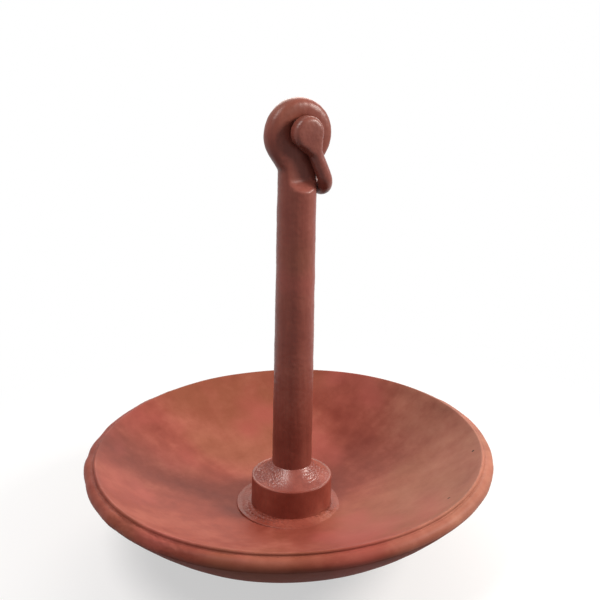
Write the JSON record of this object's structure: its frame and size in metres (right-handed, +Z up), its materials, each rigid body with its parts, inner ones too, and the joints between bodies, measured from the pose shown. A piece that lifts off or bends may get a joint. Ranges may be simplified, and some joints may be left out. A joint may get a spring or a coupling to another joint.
{
  "type": "mushroom anchor",
  "caption": "Mushroom anchor: a heavy shallow dish with a rim bead, a boss and round shank welded in its middle, and a D-shackle swinging in a forged eye.",
  "frame": {"origin": "on the ground, at the middle of the small flat under the dish", "axes": "+Z up along the dish's axis, the shackle's pin along Y, the shackle hanging on the +X side"},
  "size_m": [0.6399, 0.64, 0.708],
  "materials": {
    "cast_primer": "satin",
    "bar_primer": "satin",
    "weld_primer": "satin",
    "shackle_primer": "satin"
  },
  "bodies": {
    "anchor": {"dish": "cast_primer", "boss": "bar_primer", "boss_foot_weld": "weld_primer", "shank": "bar_primer", "shank_neck_weld": "weld_primer"},
    "shackle": {"shackle_bow": "shackle_primer", "shackle_pin": "shackle_primer"}
  },
  "joints": [
    {"name": "shackle_swing", "type": "hinge", "parent": "anchor", "child": "shackle", "pos_m": [0.02016, 0.0025, 0.65897], "axis": [0, -1, 0], "range_deg": [0, 306]}
  ]
}
